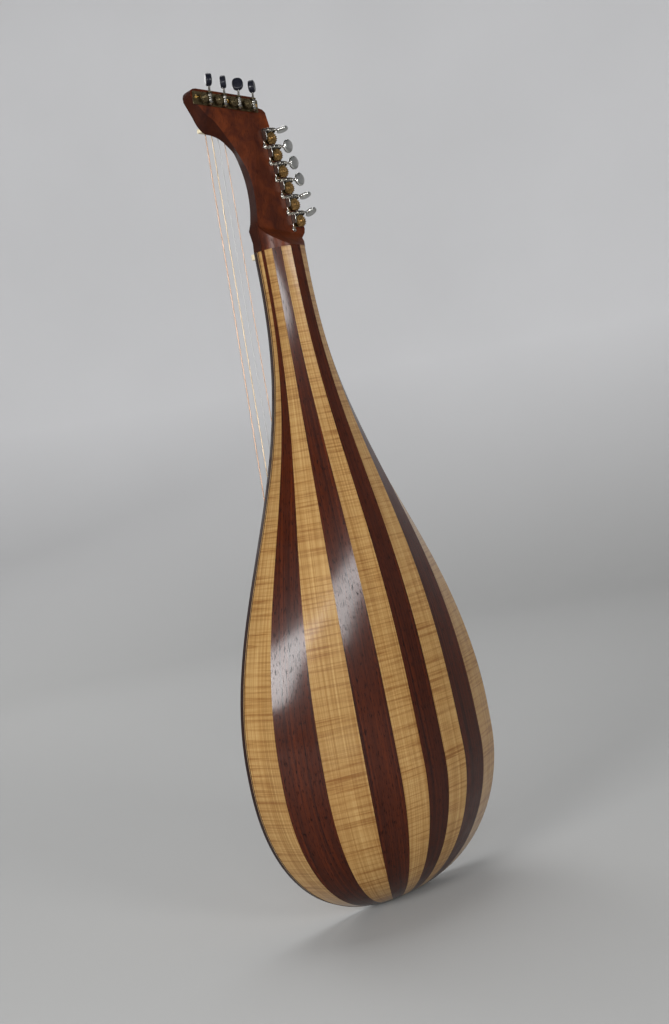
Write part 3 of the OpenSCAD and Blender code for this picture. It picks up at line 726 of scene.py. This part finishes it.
# how far each button is turned about its shaft, in degrees
BUTTON_TURN = {"main": (82, 8, 5, 0, 78, 68), "bass": (38, -35, 52, 66)}
BUTTON_AT = {"main": 18.5, "bass": 21.5}
SHAFT_END = {"main": -9.6, "bass": -7.6}
# length along the shaft, width, thickness and squareness
BUTTON_SIZE = {"main": (14, 16, 5, 2.0), "bass": (14, 13, 7, 2.4)}
BUTTON_SOFT = {"main": 0.5, "bass": 0.3}
GEAR = {"main": (7.2, 16), "bass": (6.2, 13)}  # radius and teeth
MAIN_STRING_R = (0.2, 0.26, 0.36, 0.38, 0.46, 0.56)
BASS_STRING_R = (0.48, 0.52, 0.58, 0.64)


def tuner_axes(kind, i):
    """(matrix at the post, matrix at the worm, +1 or -1 for a mirrored frame)"""
    knob, post = JOINTS[f"{kind}_knob_turn_{i}"], JOINTS[f"{kind}_post_turn_{i}"]
    worm_at, post_at = Vector(knob["pos_m"]) / MM, Vector(post["pos_m"]) / MM
    x, z = Vector(knob["axis"]).normalized(), Vector((0, 1, 0))
    y = worm_at - post_at
    y = (y - z * y.dot(z)).normalized()
    turn = Matrix((x, y, z)).transposed()
    hand = 1 if turn.determinant() > 0 else -1
    turn = turn.to_4x4()
    return Matrix.Translation(post_at) @ turn, Matrix.Translation(worm_at) @ turn, hand


ALONG_X = Matrix.Rotation(pi / 2, 4, "Y")
ACROSS_X = Matrix(((0, 0, 1, 0), (1, 0, 0, 0), (0, 1, 0, 0), (0, 0, 0, 1)))


def worm_shape(kind, hand):
    gear_r, teeth = GEAR[kind]
    pitch = 2 * pi * (gear_r - (WORM_R - WORM_CORE) / 2) / teeth
    turns, per_turn = 3.2, 36
    profile = ((WORM_CORE - 0.3, -0.55), (WORM_R - 0.1, -0.34), (WORM_R, -0.2), (WORM_R, 0.2),
               (WORM_R - 0.1, 0.34), (WORM_CORE - 0.3, 0.55))
    rings = []
    for k in range(int(turns * per_turn) + 1):
        a = 2 * pi * (k / per_turn - turns / 2)
        rings.append([(pitch * a / (2 * pi) + w, -r * cos(a), -hand * r * sin(a))
                      for r, w in profile])
    inner = SHAFT_END[kind]
    foot = BUTTON_AT[kind] - 7
    shaft = lathe([(0.9, inner), (SHAFT_R, inner + 0.6), (SHAFT_R, -4.9), (WORM_CORE, -4.8),
                   (WORM_CORE, 4.8), (SHAFT_R, 4.9), (SHAFT_R, 6.6), (2.1, 6.8), (2.1, 7.7),
                   (SHAFT_R - 0.1, 8.0), (1.3, foot - 1.2), (1.5, foot)], 32)
    return join(loft(rings), moved(shaft, ALONG_X))


def button_shape(kind, i, hand):
    """A rounded oval with a short collar where the shaft goes in."""
    long, wide, thick, square = BUTTON_SIZE[kind]
    soft = BUTTON_SOFT[kind]
    rings = []
    for v in range(-90, 91, 9):
        c = max(cos(radians(v)), 0.0) ** soft + 0.002
        h = thick / 2 * abs(sin(radians(v))) ** (1.6 * soft) * (1 if v > 0 else -1)
        loop = []
        for k in range(56):
            a = 2 * pi * k / 56
            x = abs(cos(a)) ** (2 / square) * (1 if cos(a) > 0 else -1)
            y = abs(sin(a)) ** (2 / square) * (1 if sin(a) > 0 else -1)
            loop.append((long / 2 * c * x, wide / 2 * c * y, h))
        rings.append(loop)
    collar = moved(lathe([(1.7, -7.6), (2.2, -7.2), (2.3, -5.5), (1.0, -4.5)], 28), ALONG_X)
    turn = Matrix.Rotation(radians(hand * BUTTON_TURN[kind][i - 1]), 4, "X")
    place = Matrix.Translation((BUTTON_AT[kind], 0, 0)) @ turn
    return moved(join(loft(rings), collar), place)


def slotted_dome(r, h):
    """A screw's domed head, cut across by a slot."""
    slot = 0.9
    rings = []
    for k in range(13):
        a = pi / 2 * k / 12
        loop = []
        for q in range(48):
            x, y = r * cos(a) * cos(2 * pi * q / 48), r * cos(a) * sin(2 * pi * q / 48)
            cut = abs(y) < slot / 2 and k > 2
            loop.append((x, y, h * sin(a) * (0.45 if cut else 1)))
        rings.append(loop)
    return loft(rings)


def gear_shape(kind):
    r, teeth = GEAR[kind]
    root, step = r - (WORM_R - WORM_CORE) - 0.1, 2 * pi / teeth
    outline = []
    for k in range(teeth):
        mid = (k + 0.5) * step
        for reach, off in ((root, -0.75 / root), (r - 0.15, -0.42 / r), (r, -0.25 / r),
                           (r, 0.25 / r), (r - 0.15, 0.42 / r), (root, 0.75 / root)):
            outline.append((reach * sin(mid + off), reach * cos(mid + off)))
    top = GEAR_LOW + GEAR_THICK
    hub = lathe([(root - 1.4, top - 0.1), (root - 1.6, top + 0.15), (3.2, top + 0.2),
                 (3.1, top + 0.1)], 48)
    return join(slab(outline, GEAR_LOW, top), hub)


def post_shape():
    front = -HEAD_THICK
    return lathe([(POST_R, GEAR_LOW), (POST_R, front - 2), (POST_R, front - 8.5),
                  (POST_R - 0.5, front - 9.2), (POST_R - 0.5, front - 10.6), (POST_R, front - 11.2),
                  (POST_R, front - 12.4), (POST_R - 0.5, front - 12.9), (0.8, front - 13)], 40)


def turns_shape(r, hand):
    """The string's four turns on the post."""
    middle = -HEAD_THICK - STRING_RISE + 2
    reach, steps, turns = POST_R + r, 24, 4
    path = [(reach * cos(hand * a), reach * sin(hand * a), middle + r * (a / pi - turns))
            for a in (2 * pi * k / steps for k in range(steps * turns + 1))]
    return tube(path, r, 8)


def ear_shape(x, y0, y1):
    """The round-topped ear that holds the worm's shaft."""
    top, bend = WORM_HIGH + 3, 2.6
    outline = [(y0, 0), (y1, 0)]
    outline += [((y0 + y1) / 2 + (y1 - y0) / 2 * cos(a), top - bend + bend * sin(a))
                for a in (pi * k / 12 for k in range(13))]
    return moved(slab(outline, x, x + PLATE), ACROSS_X)


def string_finish(kind, i):
    if kind == "bass":
        return (copper_wound, nylon, bronze_wound, copper_wound)[i]
    return silver_wound if i < 3 else plain_steel


def make_tuner(kind, i):
    at_post, at_worm, hand = tuner_axes(kind, i)
    knob, gear = f"{kind}_knob_{i}", f"{kind}_gear_post_{i}"
    main = kind == "main"
    gear_metal, gear_slot = (brass, "gear_brass") if main else (bronze, "gear_bronze")
    piece(f"{kind}_worm_shaft_{i}", moved(worm_shape(kind, hand), at_worm), chrome.material, knob,
          [f"{kind}_worm_{i}"], crease=40)
    piece(f"{kind}_knob_button_{i}", moved(button_shape(kind, i, hand), at_worm),
          (polished if main else black_plastic).material, knob, [f"{kind}_button_{i}"],
          crease=60)
    piece(f"{kind}_gear_wheel_{i}", moved(gear_shape(kind), at_post), gear_metal.material,
          gear, [f"{kind}_post_{i}"], bevel=0.12)
    screw = moved(slotted_dome(2.3, 1.1), Matrix.Translation((0, 0, GEAR_LOW + GEAR_THICK + 0.2))
                  @ Matrix.Rotation(0.7 * i, 4, "Z"))
    piece(f"{kind}_gear_screw_{i}", moved(screw, at_post), gear_metal.material, gear,
          crease=40)
    piece(f"{kind}_string_post_{i}", moved(post_shape(), at_post), chrome.material, gear,
          crease=40)
    radius = MAIN_STRING_R[MAIN - i] if main else BASS_STRING_R[i - 1]
    piece(f"{kind}_string_turns_{i}", moved(turns_shape(radius, hand), at_post),
          string_finish(kind, i - 1).material, gear, crease=70)


PLATE_SCREW = slotted_dome(2.1, 1.5)
BASS_SCREWS = (-14, 26, 69.4)


def make_plates():
    plates, screws = [], []
    for i in range(1, MAIN + 1):
        at_post, _, _ = tuner_axes("main", i)
        tab = slab(rounded((-11.4, -11.2), (-6.6, -4.8), 1.9), 0, PLATE)
        base = slab(rounded((-9.4, -6), (6.4, 12), 1.0), 0, PLATE)
        ears = (ear_shape(-9.4, -2, 12), ear_shape(5.2, 6, 12))
        plates.append(moved(join(base, tab, *ears), at_post))
        place = at_post @ Matrix.Translation((-9, -8.6, PLATE))
        screws.append(moved(PLATE_SCREW, place @ Matrix.Rotation(1.1 * i, 4, "Z")))
    piece("main_plates", join(*plates), chrome.material, stands_for=["main_tuner_plates"],
          bevel=0.25)
    piece("main_plate_screws", join(*screws), chrome.material, stands_for=["plate_screws"],
          crease=40)
    first, _, _ = tuner_axes("bass", 1)
    parts = [moved(slab(rounded((-7.4, -74), (7.6, 17), 1.5), 0, PLATE), first)]
    for i in range(1, BASS + 1):
        at_post, _, _ = tuner_axes("bass", i)
        parts.append(moved(join(ear_shape(-7.3, 5.6, 11.4), ear_shape(6.1, 5.6, 11.4)), at_post))
    piece("bass_plate", join(*parts), bronze.material, stands_for=["bass_tuner_plate"],
          bevel=0.25)
    screws = [moved(PLATE_SCREW, first @ Matrix.Translation((1, -x, PLATE))
                    @ Matrix.Rotation(0.02 * x, 4, "Z")) for x in BASS_SCREWS]
    piece("bass_plate_screws", join(*screws), screw_brass.material, crease=40)


def make_ferrules():
    """A washer round each post where it leaves the head's front."""
    rings = []
    for kind, count in (("main", MAIN), ("bass", BASS)):
        for i in range(1, count + 1):
            at_post, _, _ = tuner_axes(kind, i)
            z = -HEAD_THICK
            profile = [(POST_R + 0.05, z), (5, z), (5, z - 0.6), (4.6, z - 1.1), (3.6, z - 1.2),
                       (POST_R + 0.05, z - 0.9), (POST_R + 0.05, z)]
            rings.append(moved(loft([ring(r, h, 40) for r, h in profile], caps=False), at_post))
    piece("ferrules", join(*rings), chrome.material, stands_for=["post_ferrules"],
          crease=40)


for number in range(1, MAIN + 1):
    make_tuner("main", number)
for number in range(1, BASS + 1):
    make_tuner("bass", number)
make_plates()
make_ferrules()

# ---------- strings ----------

BASS_NUT_X, BASS_BRIDGE_X = (39, 47.5, 56, 64.5), (54, 65, 76, 87)


def make_string(kind, i, foot_x, nut, radius, side):
    post = Vector(JOINTS[f"{kind}_post_turn_{i + 1}"]["pos_m"]) / MM
    path = [(foot_x, -6.6, BRIDGE_Z - 16.8), (foot_x, -STRING_RISE, BRIDGE_Z - 0.6),
            (foot_x, -STRING_RISE, BRIDGE_Z + 0.6),
            (nut[0], -STRING_RISE + 1.2, nut[1] - 0.6), (nut[0], -STRING_RISE + 1.2, nut[1] + 0.6),
            (post.x + side * (POST_R + 3 * radius + 0.2), -STRING_RISE + 2, post.z)]
    knot = tube([(foot_x - 2, -9.6, BRIDGE_Z - 20), (foot_x, -10.3, BRIDGE_Z - 19.4),
                 (foot_x + 1.6, -9.4, BRIDGE_Z - 18), (foot_x, -7.2, BRIDGE_Z - 16.6)], radius, 10)
    piece(f"{kind}_string_{i + 1}", join(tube(path, radius, 12), knot),
          string_finish(kind, i).material, stands_for=[f"{kind}_strings"],
          crease=70)


for number in range(MAIN):
    across = 2.5 - number
    make_string("main", number, 12 * across, (8.6 * across, NUT_FOOT_Z + 3),
                MAIN_STRING_R[MAIN - 1 - number], 1)
for number in range(BASS):
    make_string("bass", number, BASS_BRIDGE_X[number], (BASS_NUT_X[number], BASS_NUT_Z + 3),
                BASS_STRING_R[number], 1 if number < 2 else -1)

# ---------- finish the CAD nodes that stay ----------

KEPT = {"rosette": rosette_wood, "soundboard_braces": bare_wood, "neck_core": bare_wood,
        "tail_block": bare_wood, "fingerboard": fretboard_wood, "frets": fret_metal}
for name, finish in KEPT.items():
    frame["nodes"][name].data.materials.clear()
    frame["nodes"][name].data.materials.append(finish.material)

# ---------- studio ----------


def area_light(name, at, aim, size, power):
    data = bpy.data.lights.new(name, "AREA")
    data.shape = "RECTANGLE"
    data.size, data.size_y = size
    data.energy = power
    light = bpy.data.objects.new(name, data)
    at, aim = Vector(at), Vector(aim)
    turn = (aim - at).to_track_quat("-Z", "Y").to_matrix().to_4x4()
    light.matrix_world = Matrix.Translation(at) @ turn
    scene.collection.objects.link(light)


def around(azimuth, distance, height):
    """A place round the object; azimuth runs from +Y towards +X."""
    return (distance * sin(radians(azimuth)), distance * cos(radians(azimuth)), height)


def make_studio():
    # a floor that sweeps up into a round wall
    floor_r, bend, wall_top, sides = 4.2, 1.6, 4.5, 96
    profile = [(0.01, 0), (1.0, 0), (floor_r - bend, 0)]
    profile += [(floor_r - bend + bend * sin(radians(a)), bend - bend * cos(radians(a)))
                for a in range(6, 91, 6)]
    profile += [(floor_r, wall_top)]
    rings = [[(r * cos(2 * pi * i / sides), r * sin(2 * pi * i / sides), z) for i in range(sides)]
             for r, z in profile]
    points, faces = loft(rings, caps=False)
    mesh = bpy.data.meshes.new("studio_sweep")
    mesh.from_pydata(points, [], faces)
    mesh.polygons.foreach_set("use_smooth", [True] * len(mesh.polygons))
    sweep = bpy.data.objects.new("studio_sweep", mesh)
    paper = Finish("studio_paper", 0.85)
    height = paper.node("ShaderNodeSeparateXYZ", {0: paper.at}).outputs[2]
    tone = paper.ramp(height, (0.0, (0.36, 0.36, 0.355)), (0.9, (0.72, 0.72, 0.73)))
    cloud = paper.spread(paper.noise((1.5, 1.5, 1.5), 2), 0, 0.08)
    tone = paper.mix(cloud, tone, (0.4, 0.4, 0.4))
    # the wall behind the camera has painted half shade in its colour
    towards = paper.node("ShaderNodeVectorMath", {0: paper.at, 1: (0.63, 0.78, 0)},
                         operation="DOT_PRODUCT").outputs["Value"]
    shade = paper.ramp(towards, (0.1, 0.0), (1.0, 0.3))
    wall = paper.maths("MULTIPLY", shade, paper.ramp(height, (0.05, 0.0), (0.6, 1.0)))
    paper.set("Base Color", paper.mix(wall, tone, (0.12, 0.12, 0.125)))
    mesh.materials.append(paper.material)
    scene.collection.objects.link(sweep)
    area_light("window_left", around(70, 2.6, 1.02), (0, 0.05, 0.4), (0.85, 0.75), 48)
    area_light("window_middle", around(38, 2.7, 1.02), (0, 0.05, 0.4), (0.9, 0.5), 22)
    area_light("window_right", around(4, 2.8, 1.0), (0, 0.05, 0.4), (0.7, 0.65), 30)
    area_light("front_fill", around(190, 3.0, 1.8), (0, 0, 0.5), (1.6, 1.6), 24)
    area_light("top", (-0.6, -0.8, 3.8), (-0.9, -1.2, 0.6), (2.4, 2.4), 70)
    scene.view_settings.view_transform = "Standard"
    world = bpy.data.worlds.new("studio_air")
    world.use_nodes = True
    world.node_tree.nodes["Background"].inputs[0].default_value = (0.9, 0.95, 1.0, 1)
    world.node_tree.nodes["Background"].inputs[1].default_value = 0.08
    scene.world = world


make_studio()
